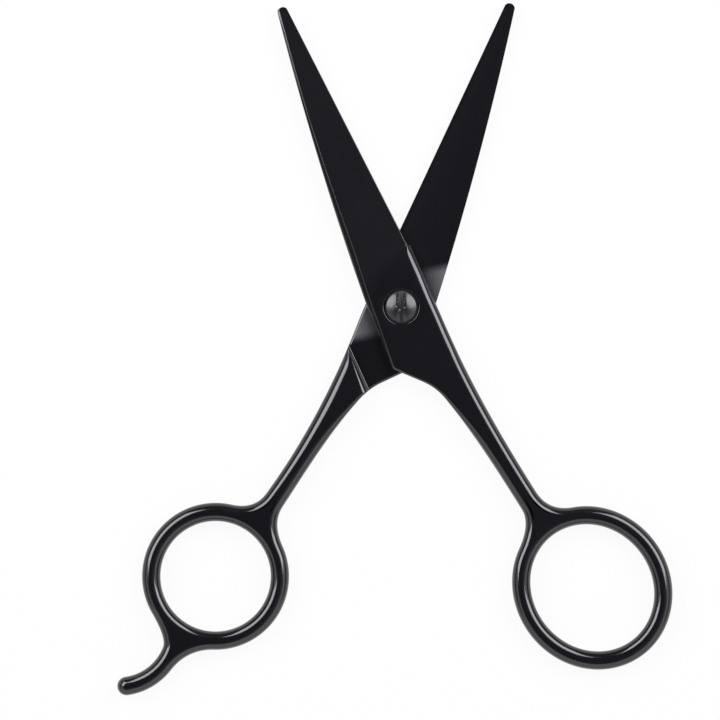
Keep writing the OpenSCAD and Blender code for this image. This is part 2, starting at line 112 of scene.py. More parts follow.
block_break_start = 9.0 * mm
edge_width = 1.75 * mm
edge_drop = 2.2 * mm
shank_full_share = 0.6
neck_drop = 46.0 * mm
outer_lag = 0.5 * mm
inner_lag = 2.0 * mm
tangent_step = 0.1

# Rows and columns of the grids
tip_rows = 10
blade_rows = 100
jog_rows = 8
block_rows = 60
crotch_rows = 44
shank_rows = 56
blend_rows = 20
ring_rows = 90
rest_rows = 40
cap_rows = 9
face_columns = 29
bar_columns = 6
section_steps = 13
curve_points = 401
curve = np.linspace(0, 1, curve_points)[:, None]


def mix(a, b, t):
    """The value that is the share t of the way from a to b."""
    return a + (b - a) * t


def smooth(t):
    """Share from 0 to 1 that starts and ends level: 3 t^2 - 2 t^3."""
    t = np.clip(t, 0, 1)
    return t * t * (3 - 2 * t)


def heading(degrees):
    """Unit vectors in plan at those angles from +X."""
    angle = np.radians(degrees)
    return np.stack([np.cos(angle), np.sin(angle)], axis=-1)


def straight(a, b):
    """Straight line from a to b."""
    return mix(a, b, curve)


def bent(a, corner, b):
    """Parabola from a to b whose end tangents cross at the corner."""
    return mix(mix(a, corner, curve), mix(corner, b, curve), curve)


def eased(a, lean_a, b, lean_b):
    """Cubic curve from a to b with those leans at its ends. Its handles are a third of the gap long."""
    reach = np.linalg.norm(b - a) / 3
    first = a + reach * heading(lean_a - 90)
    second = b - reach * heading(lean_b - 90)
    back = 1 - curve
    return back**3 * a + 3 * back**2 * curve * first + 3 * back * curve**2 * second + curve**3 * b


def round_at(ring, angles):
    """Points of a ring at those angles: an ellipse of a centre, two half lengths and the first one's turn."""
    centre, long, short, turn = ring
    angle = np.radians(np.asarray(angles, float) - turn)[..., None]
    return centre + long * np.cos(angle) * heading(turn) + short * np.sin(angle) * heading(turn + 90)


def round_run(ring, start, end):
    """Stretch of an ellipse between two angles."""
    return round_at(ring, mix(start, end, curve[:, 0]))


def crossing(a, u, b, v):
    """Where the line from a along u meets the line from b along v."""
    gap = b - a
    return a + u * (gap[0] * v[1] - gap[1] * v[0]) / (u[0] * v[1] - u[1] * v[0])


def spine_at(y):
    """The spine: a straight line bowed by a parabola from the tip to the pivot, then straight to the heel."""
    t = (tip_base - y) / (tip_base - spine_foot)
    bowed = mix(tip_width / 2, spine_offset, t) + 4 * spine_bow * t * (1 - t)
    flat = mix(spine_offset, heel_offset, (spine_foot - y) / (spine_foot + heel_drop))
    return np.hstack([-np.where(y > spine_foot, bowed, flat), y])


tip_ring = (np.array([0, tip_base]), tip_width / 2, tip_round, 0)


def outer_stretches(wall, neck, lean):
    """Cutting edge, jog, block wall and outer edge of the shank, from the tip down to the neck."""
    heel_point = np.array([edge_offset, edge_heel])
    wall_top = heel_point + [heel_jog, -jog_drop]
    wall_foot = np.array([wall, -wall_drop])
    return [
        round_run(tip_ring, 90, 0),
        straight(np.array([tip_width / 2, tip_base]), heel_point),
        bent(heel_point, np.array([edge_offset, wall_top[1]]), wall_top),
        straight(wall_top, wall_foot),
        eased(wall_foot, wall_lean, neck, lean),
    ]


def inner_stretches(root_lean, neck, lean):
    """Spine, heel corner, crotch and inner edge of the shank, from the tip down to the neck."""
    corner = np.array([-heel_offset, -heel_drop])
    crotch_way = heading(-crotch_angle)
    crotch_end = corner + crotch_length * crotch_way
    block_low = corner + [0, corner_round]
    crotch_top = corner + corner_round * crotch_way
    bend_top = crotch_end - crotch_bend * crotch_way
    shank_top = crotch_end + crotch_bend * heading(root_lean - 90)
    lower = [
        bent(block_low, corner, crotch_top),
        straight(crotch_top, bend_top),
        bent(bend_top, crotch_end, shank_top),
        eased(shank_top, root_lean, neck, lean),
    ]
    return [
        round_run(tip_ring, 90, 180),
        spine_at(mix(tip_base, edge_heel, curve)),
        spine_at(mix(edge_heel, edge_heel - jog_blend, curve)),
        spine_at(mix(edge_heel - jog_blend, block_low[1], curve)),
        np.concatenate(lower),
    ]


def neck_blend(neck, lean, lag, ring, angle, side):
    """Concave blend from neck to ring: straight on for the lag, then a parabola to the ring's tangent, which
    is taken between two points close to the end."""
    way = heading(lean - 90)
    start = neck + lag * way
    end = round_at(ring, angle)
    tangent = side * (round_at(ring, angle + tangent_step) - round_at(ring, angle - tangent_step))
    return np.concatenate([straight(neck, start), bent(start, crossing(start, way, end, tangent), end)])


def rail_of(stretches):
    """A rail: the points of stretches that follow each other, its unit way, the length along it, and the
    length at the end of each stretch."""
    points = np.concatenate(stretches)
    way = np.gradient(points, axis=0, edge_order=2)
    way = way / np.linalg.norm(way, axis=1)[:, None]
    length = np.concatenate([[0], np.cumsum(np.linalg.norm(np.diff(points, axis=0), axis=1))])
    ends = length[np.cumsum([len(stretch) for stretch in stretches]) - 1]
    return points, way, length, ends


def length_at_line(rail, start, way):
    """Length along a rail where its fifth stretch, from the block to the neck, first crosses a line."""
    points, _, length, ends = rail
    part = (length >= ends[3]) & (length <= ends[4])
    gap = points[part] - start
    side = gap[:, 0] * way[1] - gap[:, 1] * way[0]
    first = np.flatnonzero(np.diff(np.sign(side)))[0]
    return np.interp(0, *np.sort(np.stack([side, length[part]])[:, first:first + 2], axis=1))


def spaced(marks, counts):
    """Lengths spread evenly between marks, with the last mark at the end."""
    runs = [np.linspace(a, b, count, endpoint=False) for a, b, count in zip(marks, marks[1:], counts)]
    return np.concatenate(runs + [marks[-1:]])


# Rows over the step: a fillet at its foot, a slanted wall, and a brow that rounds over to the shank
fillet_rows = 8
brow_rows = 12
step_rows = fillet_rows + 1 + brow_rows
fillet_share = np.linspace(0, 1, fillet_rows)
round_share = np.linspace(0, 1, brow_rows)


def step_over(slant, brow, rounding):
    """Distance of each row over the step from the foot of its wall, and its height. The fillet is a parabola
    from the level face into the slanted wall, and the brow one from the end of the wall to the face above."""
    wall_heights = brow + np.array([step_crease, 0])
    foot = -step_fillet * (1 - fillet_share)**2 + slant * step_fillet / inner_face * fillet_share**2
    wall = slant * (inner_face - wall_heights) / inner_face
    reach = np.concatenate([foot, wall[:1], wall[1] + rounding * round_share])
    foot_heights = inner_face - step_fillet * fillet_share**2
    return reach, np.concatenate([foot_heights, wall_heights[:1], brow * (1 - round_share)**2])


def rows_on(rail, slant, reach, late_counts):
    """Points and unit ways at every row of a rail, with rows gathered over the step. The way turns evenly
    past the jog, so that the edge keeps its section there."""
    away = heading(crotch_angle - 90)
    along = heading(crotch_angle + 180)
    foot = np.array([heel_offset, -heel_drop]) + step_gap * away
    brow = foot + step_slant_outer * away
    brow_way = crotch_length * along + (step_slant_inner - step_slant_outer) * away
    points, way, length, ends = rail
    foot_length = length_at_line(rail, foot, along)
    stretch = (length_at_line(rail, brow, brow_way) - foot_length) / slant
    step = foot_length + stretch * reach
    early_counts = [tip_rows, blade_rows, jog_rows, block_rows, crotch_rows]
    early = spaced(np.array([0, *ends[:4], step[0]]), early_counts)
    late = spaced(np.array([step[-1], *ends[4:]]), [shank_rows, *late_counts])
    rows = np.concatenate([early[:-1], step, late[1:]])
    found = [np.interp(rows, length, column) for column in np.hstack([points, way]).T]
    points, way = np.stack(found[:2], axis=1), np.stack(found[2:], axis=1)
    jog = slice(tip_rows + blade_rows, tip_rows + blade_rows + jog_rows + 1)
    way[jog] = mix(way[jog.start - 1], way[jog.stop], np.linspace(0, 1, jog_rows + 1)[:, None])
    return points, way


step_row = tip_rows + blade_rows + jog_rows + block_rows + crotch_rows
neck_row = step_row + step_rows - 1 + shank_rows


def by_reach(y, *knots):
    """Value that changes evenly between knots of (reach from the pivot, value), listed from the tip down."""
    reach, value = np.array(knots).T
    return np.interp(-y, -reach, value)


def face_edges(outer, inner, shank_edge):
    """Shape of both edges at each row, as columns of width, drop, roundness, top, width below and height
    below. The blade's face is a plane that slopes from the spine down to the cutting edge."""
    y = outer[:, 1]
    thickness = by_reach(y, (tip_reach, tip_thickness), (edge_heel, heel_thickness))
    thickness = mix(thickness, blade_thickness, smooth((edge_heel - y) / (edge_heel - rise_end)))
    block_top = edge_heel - jog_blend
    below = np.arange(len(y)) >= step_row
    grown = smooth((y[step_row] - y) / step_edge_growth)
    outer_break = by_reach(y, (block_break_start, edge_break), (0, block_break))
    drop = by_reach(y, (tip_base, tip_thickness - edge_land), (edge_heel, heel_thickness - edge_land),
                    (block_top, wall_round), (rise_end, wall_round), (-wall_drop, edge_drop))
    shank = ((-wall_drop, edge_width), (-neck_drop / 2, shank_edge), (-neck_drop, edge_width))
    outer_shape = np.stack([
        by_reach(y, (tip_base, tip_bevel), (fine_bevel_start, fine_bevel), (edge_heel, bevel_width),
                 (block_top, wall_width), (rise_end, edge_width), *shank),
        np.minimum(drop, mix(blade_thickness - outer_break, edge_drop, grown)),
        by_reach(y, (edge_heel, 0), (block_top, 1)),
        inner_face + thickness,
        np.where(below, mix(step_edge, by_reach(y, *shank), grown), outer_break),
        np.where(below, mix(step_edge, edge_drop, grown), outer_break),
    ], axis=1)
    y = inner[:, 1]
    crotch_low = -heel_drop - crotch_length * np.sin(np.radians(crotch_angle))
    shank_full = mix(crotch_low, -neck_drop, shank_full_share)
    cut = by_reach(y, (narrow_chamfer_end, narrow_chamfer), (spine_chamfer_top, spine_chamfer),
                   (0, mix(heel_edge, spine_chamfer, block_chamfer_share)), (-heel_drop, heel_edge))
    crotch_top = -heel_drop - corner_round
    cut = mix(cut, crotch_radius, smooth((crotch_top - y) / (crotch_top - crotch_low)))
    shank_top = crotch_low + crotch_bend
    shank_share = smooth((shank_top - y) / (shank_top - shank_full))
    width = np.linalg.norm(outer - inner, axis=1)
    slope = (blade_thickness - heel_thickness) / (edge_offset + spine_offset - bevel_width - spine_chamfer)
    top = np.minimum(thickness + slope * np.maximum(width - cut - bevel_width, 0), blade_thickness)
    lean = by_reach(y, (tip_base, tip_chamfer_slope), (narrow_chamfer_end, chamfer_slope), (0, chamfer_slope),
                    (-heel_drop, 1))
    inner_break = by_reach(y, (0, edge_break), (-heel_drop, crotch_break))
    inner_shape = np.stack([
        mix(cut, edge_width, shank_share),
        mix(np.minimum(cut * lean, top - spine_land), edge_drop, shank_share),
        by_reach(y, (-heel_drop, 0), (crotch_low, 1)),
        inner_face + top,
        np.where(below, mix(crotch_radius, edge_width, shank_share), inner_break),
        np.where(below, mix(crotch_radius, edge_drop, shank_share), inner_break),
    ], axis=1)
    tip_share = np.minimum(np.arange(len(y)) / tip_rows, 1)[:, None]
    return outer_shape, mix(outer_shape, inner_shape, tip_share)


def edge_sheet(points, inward, shape, base, floor):
    """The edge in section at every row, from the upper face to the lower one. The upper part is between a
    chamfer and a quarter of an ellipse. The chamfer is a parabola out of the face over a third of its steps,
    a straight line over a sixth and a parabola into the wall over the last half. The lower part is an ellipse
    on the base that ends where it reaches the floor."""
    width, drop, roundness, top, under_width, under_rise = shape.T[:, :, None]
    t = np.linspace(0, 1, section_steps)
    turn = t * np.pi / 2
    crease = np.minimum(3 * t, 1)
    flat = np.clip(6 * t - 2, 0, 1)
    bend = np.maximum(2 * t - 1, 0)
    rounding = by_reach(points[:, 1:], (0, crease_round), (block_crease_start, block_crease))
    share = np.minimum(rounding / width, crease_most)
    flat_in = mix(1 - share, corner_share, flat)
    cut_in = np.where(flat > 0, flat_in - corner_share * (1 - (1 - bend)**2), 1 + share * (1 - 2 * crease))
    flat_down = corner_height * np.where(flat > 0, 1 - flat_in, share * crease**2)
    cut_down = flat_down * (1 - bend)**2 + 2 * corner_height * bend * (1 - bend) + bend**2
    stop = np.arccos(np.clip(1 - (floor - base)[:, None] / under_rise, 0, 1))
    under_turn = mix(np.pi / 2, stop, t)
    over_distance = width * mix(cut_in, 1 - np.sin(turn), roundness)
    over_height = top - drop * mix(cut_down, 1 - np.cos(turn), roundness)
    under_distance = under_width * (1 - np.sin(under_turn))
    under_height = np.maximum(base[:, None] + under_rise * (1 - np.cos(under_turn)), floor[:, None])
    distance = np.hstack([over_distance, under_distance])
    height = np.hstack([over_height, under_height])
    plan = points[:, None] + distance[..., None] * inward[:, None]
    return np.concatenate([plan, height[..., None]], axis=2)


def lip_sheet(hole, angles):
    """The rounded lip of a ring's hole at those angles: half an ellipse in section that grows the hole."""
    centre, long, short, turn = hole
    t = np.linspace(0, np.pi / 2, section_steps)
    grown = np.concatenate([edge_width * (1 - np.sin(t)), edge_width * (1 - np.sin(t[::-1]))])
    height = np.concatenate([half_height - edge_drop * (1 - np.cos(t)), edge_drop * (1 - np.cos(t[::-1]))])
    ring = (centre, (long + grown)[:, None], (short + grown)[:, None], turn)
    plan = round_at(ring, np.repeat(np.asarray(angles)[:, None], len(grown), axis=1))
    return np.concatenate([plan, np.broadcast_to(height[:, None], (*plan.shape[:2], 1))], axis=2)


crowding = 0.8


def crowded(count):
    """Shares from 0 to 1, closer together at both ends: an even run mixed with half a cosine wave."""
    share = np.linspace(0, 1, count)
    return mix(share, (1 - np.cos(np.pi * share)) / 2, crowding)


face_share = crowded(face_columns)


def face_sheet(a, b, share):
    """Ruled face between two lines of points, with columns at those shares of the way across."""
    return mix(a[:, None], b[:, None], share[None, :, None])


def patch_sheet(south, north, west, east):
    """Face inside four lines of points that meet at its corners: both ruled faces less the bilinear one."""
    u = crowded(len(south))[:, None, None]
    v = np.linspace(0, 1, len(west))[None, :, None]
    corners = mix(mix(south[0], south[-1], u), mix(north[0], north[-1], u), v)
    return mix(south[:, None], north[:, None], v) + mix(west[None], east[None], u) - corners


def hollow_at(plan):
    """Depth of the hollow in the inner face: a parabola across the blade between two lands, which runs out at
    the pivot block and dies away towards the tip."""
    x, y = plan[..., 0], plan[..., 1]
    half_width = mix(edge_offset, tip_width / 2, (y - edge_heel) / (tip_base - edge_heel)) - hollow_land
    across = np.clip(1 - (x / np.maximum(half_width, edge_land))**2, 0, 1)
    along = np.clip((tip_base - y) / (tip_base - hollow_start), 0, 1)
    return hollow_depth * across * along * smooth((y - hollow_start) / hollow_run)


def opening_round_pivot(upper, lower, radius):
    """The quads of two faces that stay when both are opened round the pivot, and the loop of points round
    each opening. It takes every row and column that comes closer to the pivot axis than the radius."""
    near = np.linalg.norm([upper[..., :2], lower[..., :2]], axis=3).min(axis=0) < radius
    rows = np.flatnonzero(near.any(axis=1))
    columns = np.flatnonzero(near.any(axis=0))
    top, bottom, left, right = rows[0] - 1, rows[-1] + 1, columns[0] - 1, columns[-1] + 1
    kept = np.ones((upper.shape[0] - 1, upper.shape[1] - 1), bool)
    kept[top:bottom, left:right] = False
    loops = [np.concatenate([
        face[top:bottom, left], face[bottom, left:right],
        face[bottom:top:-1, right], face[top, right:left - 1:-1]]) for face in (upper, lower)]
    return kept, *loops


def bore_sheet(upper_loop, lower_loop, profile):
    """The bore: from the upper loop through rings of the profile's [radius, height] to the lower loop."""
    radius, height = np.array(profile).T[:, :, None]
    angle = np.arctan2(upper_loop[:, 1], upper_loop[:, 0])
    under = np.arctan2(lower_loop[:, 1], lower_loop[:, 0])
    turn = np.angle(np.exp(1j * (under - angle)))
    angle = angle + turn * np.linspace(0, 1, len(profile))[:, None]
    rings = np.stack([radius * np.cos(angle), radius * np.sin(angle), height + 0 * angle], axis=2)
    return np.concatenate([upper_loop[None], rings, lower_loop[None]])


def half_sheets(
        outer_rail, inner_rail, shank_edge, late_counts,
        hole, outer_angles, inner_angles, bore_radius, bore_profile):
    """All faces of a half as grids of points, with its outer face up: two edges along the rails, the faces
    between them down to the neck, the ring's bar and lip, the patches where the neck and the rest meet the
    ring, the faces of the rest, and the pivot bore."""
    outer_reach, outer_height = step_over(step_slant_outer, step_brow_outer, step_round_outer)
    inner_reach, inner_height = step_over(step_slant_inner, step_brow_inner, step_round_inner)
    outer, outer_way = rows_on(outer_rail, step_slant_outer, outer_reach, late_counts)
    inner, inner_way = rows_on(inner_rail, step_slant_inner, inner_reach, late_counts)
    outer_shape, inner_shape = face_edges(outer, inner, shank_edge)
    row = np.arange(len(outer))
    base = np.where(row < step_row, inner_face, 0)
    step = step_row + np.arange(step_rows)
    outer_floor, inner_floor = np.interp(row, step, outer_height), np.interp(row, step, inner_height)
    outer_edge = edge_sheet(outer, outer_way[:, ::-1] * [1, -1], outer_shape, base, outer_floor)
    inner_edge = edge_sheet(inner, inner_way[:, ::-1] * [-1, 1], inner_shape, base, inner_floor)
    sheets = [(outer_edge, None), (inner_edge, None)]
    shaft = slice(0, neck_row + 1)
    upper = face_sheet(outer_edge[shaft, 0], inner_edge[shaft, 0], face_share)
    lower = face_sheet(outer_edge[shaft, -1], inner_edge[shaft, -1], face_share)
    lower[..., 2] += hollow_at(lower)
    kept, upper_loop, lower_loop = opening_round_pivot(upper, lower, bore_radius)
    sheets += [(upper, kept), (lower, kept)]
    sheets += [(bore_sheet(upper_loop, lower_loop, bore_profile), None)]
    bar = slice(neck_row, neck_row + len(outer_angles))
    bar_share = np.linspace(0, 1, bar_columns)
    outer_lip = lip_sheet(hole, outer_angles)
    inner_lip = lip_sheet(hole, inner_angles)
    near_lip = lip_sheet(hole, mix(outer_angles[0], inner_angles[0], face_share))
    sheets += [(outer_lip, None), (inner_lip, None), (near_lip, None)]
    rest = slice(bar.stop - 1, None)
    has_rest = bar.stop < len(outer)
    if has_rest:
        far_lip = lip_sheet(hole, mix(outer_angles[-1], inner_angles[-1] - 360, face_share))
        sheets += [(far_lip, None)]
    for side in (0, -1):
        outer_bar = face_sheet(outer_edge[bar, side], outer_lip[:, side], bar_share)
        inner_bar = face_sheet(inner_edge[bar, side], inner_lip[:, side], bar_share)
        shaft_end = (upper, lower)[side][-1]
        sheets += [(outer_bar, None), (inner_bar, None)]
        sheets += [(patch_sheet(shaft_end, near_lip[:, side], outer_bar[0], inner_bar[0]), None)]
        if has_rest:
            rest_face = face_sheet(outer_edge[rest, side], inner_edge[rest, side], face_share)
            sheets += [(rest_face, None)]
            sheets += [(patch_sheet(rest_face[0], far_lip[:, side], outer_bar[-1], inner_bar[-1]), None)]
    return sheets


def shown(name, data):
    """An object at the origin that holds the data, put into the scene."""
    made = bpy.data.objects.new(name, data)
    bpy.context.scene.collection.objects.link(made)
    return made


weld = 0.002 * mm
forged_angle = 80


def closed_piece(name, sheets, sharp_angle):
    """Mesh object out of grids of points, with a quad between neighbours wherever it is kept. Points that
    coincide where grids meet are joined, all faces are turned outwards, and folds past the angle shade as
    sharp edges."""
    points, quads, start = [], [], 0
    for sheet, kept in sheets:
        rows, columns = sheet.shape[:2]
        index = start + np.arange(rows * columns).reshape(rows, columns)
        corners = np.stack([index[:-1, :-1], index[1:, :-1], index[1:, 1:], index[:-1, 1:]], axis=2)
        points.append(sheet.reshape(-1, 3))
        quads.append(corners.reshape(-1, 4) if kept is None else corners[kept])
        start += rows * columns
    used, quads = np.unique(np.concatenate(quads), return_inverse=True)
    mesh = bpy.data.meshes.new(name)
    mesh.from_pydata(np.concatenate(points)[used], [], quads.reshape(-1, 4).tolist())
    joined = bmesh.new()
    joined.from_mesh(mesh)
    bmesh.ops.remove_doubles(joined, verts=joined.verts, dist=weld)
    bmesh.ops.recalc_face_normals(joined, faces=joined.faces)
    joined.to_mesh(mesh)
    joined.free()
    mesh.shade_smooth()
    mesh.set_sharp_from_angle(angle=np.radians(sharp_angle))
    return shown(name, mesh)


open_angle = 41.8


def turned(sheets, degrees):
    """Sheets turned about the pivot axis."""
    x, y = heading(degrees)
    spin = np.array([[x, y, 0], [-y, x, 0], [0, 0, 1]])
    return [(sheet @ spin, kept) for sheet, kept in sheets]


def mark_inner_face(piece, low, high):
    """Attribute that is 1 on the points of a ground inner face, between two heights, and 0 elsewhere."""
    points = np.empty(3 * len(piece.data.vertices), np.float32)
    piece.data.vertices.foreach_get("co", points)
    height = points[2::3]
    mark = ((height > low) & (height < high)).astype(np.float32)
    piece.data.attributes.new("inner_face", "FLOAT", "POINT").data.foreach_set("value", mark)


# Shank, ring, rest and threaded hole of this half, before it is turned over
finger_root_lean = 22
finger_wall = 7.33 * mm
finger_shank_edge = 2.3 * mm
finger_neck = np.array([10.9 * mm, -neck_drop])
finger_neck_width = 4.4 * mm
finger_neck_lean = 13.2
finger_outer_lean = 16
finger_inner_lag = 1.0 * mm
finger_centre = np.array([17.2 * mm, -65.8 * mm])
finger_hole_radius = 11.45 * mm
finger_bar = 3.85 * mm
finger_outer_blend = -25
finger_inner_blend = 28
finger_near = 8
rest_width = 3.9 * mm
rest_bend = 11.85 * mm
rest_sweep = 60
rest_stand = 7.7 * mm
rest_direction = -48.7
rest_outer_start = -50
rest_inner_start = 251.3
rest_start = 182
rest_lag = 16
rest_root = -79
rest_root_spread = 6
thread_hole_radius = 1.78 * mm
thread_countersink = 0.3 * mm
thread_opening = 2.6 * mm

finger_radius = finger_hole_radius + finger_bar
finger_ring = (finger_centre, finger_radius, finger_radius, 0)
finger_hole = (finger_centre, finger_hole_radius, finger_hole_radius, 0)
finger_side = finger_neck_width / 2 * heading(finger_neck_lean)
finger_way = np.degrees(np.arctan2(*(finger_neck - finger_centre)[::-1]))
rest_centre = finger_centre + (finger_radius + rest_stand) * heading(rest_direction)
rest_end = rest_start + rest_sweep
rest_tip = rest_centre + rest_bend * heading(rest_end)


def rest_stretches(side, start, leave):
    """One edge of the finger rest: a blend out of the ring's tangent, the bend, and a quarter of its end."""
    radius = rest_bend + side * rest_width / 2
    bend = (rest_centre, radius, radius, 0)
    a = round_at(finger_ring, leave)
    b = round_at(bend, start)
    corner = crossing(a, heading(leave + 90), b, heading(start + 90))
    end = (rest_tip, rest_width / 2, rest_width / 2, 0)
    from_angle = rest_end if side > 0 else rest_end + 180
    return [bent(a, corner, b), round_run(bend, start, rest_end), round_run(end, from_angle, rest_end + 90)]


outer_marks = [
    finger_way - finger_near, finger_way + finger_outer_blend,
    rest_outer_start, rest_root + rest_root_spread]
inner_marks = [
    finger_way + finger_near, finger_way + finger_inner_blend,
    rest_inner_start, rest_root - rest_root_spread + 360]
outer_rail = rail_of([
    *outer_stretches(finger_wall, finger_neck + finger_side, finger_outer_lean),
    neck_blend(finger_neck + finger_side, finger_outer_lean, outer_lag, finger_ring, outer_marks[1], -1),
    round_run(finger_ring, *outer_marks[1:3]),
    *rest_stretches(-1, rest_start, rest_outer_start),
])
inner_rail = rail_of([
    *inner_stretches(finger_root_lean, finger_neck - finger_side, finger_neck_lean),
    neck_blend(finger_neck - finger_side, finger_neck_lean, finger_inner_lag, finger_ring, inner_marks[1], 1),
    round_run(finger_ring, *inner_marks[1:3]),
    *rest_stretches(1, rest_start + rest_lag, rest_inner_start),
])
bar_counts = [blend_rows, ring_rows, blend_rows]
thread_bore = [
    [thread_hole_radius + thread_countersink, half_height],
    [thread_hole_radius, half_height - thread_countersink],
    [thread_hole_radius, inner_face + thread_countersink / 2],
    [thread_hole_radius + thread_countersink / 2, inner_face],
]
finger_sheets = half_sheets(
    outer_rail, inner_rail, finger_shank_edge, [*bar_counts, rest_rows, cap_rows], finger_hole,
    spaced(outer_marks, bar_counts), spaced(inner_marks, bar_counts), thread_opening, thread_bore)
finger_sheets = [(sheet * [-1, 1, -1] + [0, 0, half_height], kept) for sheet, kept in finger_sheets]
finger_half = closed_piece("finger_half_coated", turned(finger_sheets, -open_angle / 2), forged_angle)
ground_margin = edge_break / 2
mark_inner_face(finger_half, blade_thickness - hollow_depth - ground_margin, blade_thickness + ground_margin)


def place(tree, kind, inputs, **settings):
    """A shader node in the tree. Each input takes a plain value or another node's output."""
    made = tree.nodes.new("ShaderNode" + kind)
    for name, value in settings.items():
        setattr(made, name, value)
    for name, value in inputs.items():
        if isinstance(value, bpy.types.NodeSocket):
            tree.links.new(value, made.inputs[name])
        else:
            made.inputs[name].default_value = value
    return made


def worked(tree, operation, *terms):
    """Outcome of a Math node on those terms."""
    return place(tree, "Math", dict(enumerate(terms)), operation=operation).outputs[0]


def ranged(tree, value, start, end, low=0.0, high=1.0, fade="LINEAR"):
    """Value that goes from low to high while the given one goes from start to end, and is held outside."""
    limits = {"From Min": start, "From Max": end, "To Min": low, "To Max": high}
    return place(tree, "MapRange", {"Value": value, **limits}, interpolation_type=fade).outputs["Result"]


def toned(tree, share, first, second):
    """Colour that is that share of the way from the first to the second."""
    return place(tree, "Mix", {0: share, "A": first, "B": second}, data_type="RGBA").outputs["Result"]


def clouded(tree, vector, scale, detail, roughness=0.5):
    """Noise from 0 to 1 on those coordinates."""
    inputs = {"Vector": vector, "Scale": scale, "Detail": detail, "Roughness": roughness}
    return place(tree, "TexNoise", inputs).outputs["Fac"]


def effect(name, inputs, outputs):
    """An empty node group with those named inputs and outputs, each given as its kind."""
    group = bpy.data.node_groups.new(name, "ShaderNodeTree")
    for side, sockets in (("INPUT", inputs), ("OUTPUT", outputs)):
        for label, kind in sockets.items():
            group.interface.new_socket(label, in_out=side, socket_type="NodeSocket" + kind)
    return group, group.nodes.new("NodeGroupInput").outputs, group.nodes.new("NodeGroupOutput").inputs


# Handling marks: hair-fine scratches in two directions and the soft smudges of a wiped surface
scratch_scale = (2500, 120, 1200)
scratch_courses = ((0.5, 3.0), (-1.1, 11.0))
scratch_start = 0.66
scratch_full = 0.78
smudge_scale = 140.0
smudge_start = 0.4
smudge_full = 0.7
marks, given, put = effect(
    "handling_marks", {"Vector": "Vector", "Scratches": "Float", "Smudges": "Float"}, {"Roughness": "Float"})
scratch = 0.0
for turn, shift in scratch_courses:
    hair = place(marks, "Mapping", {
        "Vector": given["Vector"], "Scale": scratch_scale,
        "Rotation": (0, 0, turn), "Location": (shift, shift, 0)})
    hair = clouded(marks, hair.outputs["Vector"], scale=1.0, detail=2.0)
    scratch = worked(marks, "MAXIMUM", scratch, ranged(marks, hair, scratch_start, scratch_full))
scratch = worked(marks, "MULTIPLY", scratch, given["Scratches"])
smudge = clouded(marks, given["Vector"], smudge_scale, detail=4.0, roughness=0.6)
smudge = worked(marks, "MULTIPLY", ranged(marks, smudge, smudge_start, smudge_full), given["Smudges"])
marks.links.new(worked(marks, "ADD", scratch, smudge), put["Roughness"])

# Coat skin: the very slight orange peel of a baked coating, and its change of tone from place to place
tone_scale = 60.0
peel_depth = 0.02 * mm
skin, given, put = effect(
    "coat_skin", {"Vector": "Vector", "Grain": "Float", "Dark": "Color", "Light": "Color"},
    {"Color": "Color", "Height": "Float"})
tone = clouded(skin, given["Vector"], tone_scale, detail=3.0)
skin.links.new(toned(skin, tone, given["Dark"], given["Light"]), put["Color"])
skin.links.new(clouded(skin, given["Vector"], given["Grain"], detail=1.0), put["Height"])


def finish_of(name, grain, dark, light, scratches, smudges):
    """A new material with the coat's skin and handling marks placed in it: the material, its node tree, its
    Object coordinates, the skin's outputs and the marks' roughness."""
    material = bpy.data.materials.new(name)
    material.use_nodes = True
    tree = material.node_tree
    spot = place(tree, "TexCoord", {}).outputs["Object"]
    coat = {"Vector": spot, "Grain": grain, "Dark": dark, "Light": light}
    coat = place(tree, "Group", coat, node_tree=skin)
    wear = {"Vector": spot, "Scratches": scratches, "Smudges": smudges}
    wear = place(tree, "Group", wear, node_tree=marks)
    return material, tree, spot, coat.outputs, wear.outputs["Roughness"]


def dress(tree, colour, gloss, height, peel):
    """Leads colour, gloss and a fine bump of that strength into the material's surface, which it returns."""
    bump = place(tree, "Bump", {"Height": height, "Strength": peel, "Distance": peel_depth})
    surface = tree.nodes["Principled BSDF"].inputs
    for name, value in (("Base Color", colour), ("Roughness", gloss), ("Normal", bump.outputs["Normal"])):
        tree.links.new(value, surface[name])
    return surface


# Black coating of both halves: glossy and nearly black, rubbed grey with a painted reflection where the
# blocks ride on each other
coat_dark = (0.0030, 0.0028, 0.0035, 1)
coat_light = (0.0041, 0.0039, 0.0047, 1)
coat_grain = 900.0
coat_peel = 0.02
coat_ior = 1.5
coat_gloss = 0.11
# Grey of the ride band: rubbed coating with a painted reflection in it
rub_and_reflection_grey = (0.053, 0.052, 0.0555, 1)
ride_gloss = 0.38
ride_turn = 8.8
ride_middle = 0.9 * mm
ride_reach = 5.7 * mm
ride_soft = 1.2 * mm
reflection_rise_start = 4.6 * mm
reflection_rise_full = 10.4 * mm
reflection_rise_least = 0.1
black_coating, tree, spot, coat, wear = finish_of(
    "black_coating", coat_grain, coat_dark, coat_light, scratches=0.05, smudges=0.03)
band = place(tree, "Mapping", {"Vector": spot, "Rotation": (0, 0, np.radians(-ride_turn))})
band = place(tree, "SeparateXYZ", {"Vector": band.outputs["Vector"]}).outputs
